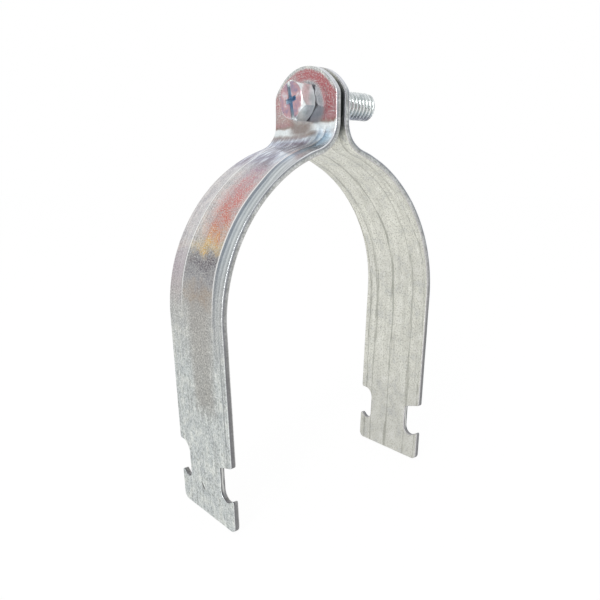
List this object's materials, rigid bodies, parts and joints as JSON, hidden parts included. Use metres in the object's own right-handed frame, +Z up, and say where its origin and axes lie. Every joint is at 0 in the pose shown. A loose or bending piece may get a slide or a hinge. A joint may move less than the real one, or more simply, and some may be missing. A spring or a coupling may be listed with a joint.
{
  "type": "strut pipe clamp",
  "caption": "Two-piece steel strap clamp that hooks into a strut channel and closes round a pipe with one hex-head screw through its top ears.",
  "frame": {"origin": "middle of the pipe seat: midway between the centres of the two straps' arcs, halfway across the strap width", "axes": "+Y along the pipe, +Z up through the ears, +X along the strut channel from the screw head towards its thread"},
  "size_m": [0.091, 0.0318, 0.144],
  "materials": {
    "galvanised_strip": "galvanised",
    "zinc_plated_screw": "bright zinc plate"
  },
  "bodies": {
    "left_half": {"strap_left": "galvanised_strip"},
    "screw": {"screw": "zinc_plated_screw"},
    "right_half": {"strap_right": "galvanised_strip"}
  },
  "joints": [
    {"name": "halves_part", "type": "slide", "parent": "left_half", "child": "right_half", "axis": [1, 0, 0], "range_m": [-0.00145, 0.019]},
    {"name": "screw_turn", "type": "hinge", "parent": "left_half", "child": "screw", "pos_m": [0, 0, 0.06572], "axis": [1, 0, 0], "range_deg": [-4320, 330]}
  ],
  "couplings": [
    {"joint": "screw_turn", "follows": "halves_part", "rad_per_m": -3957.9}
  ]
}
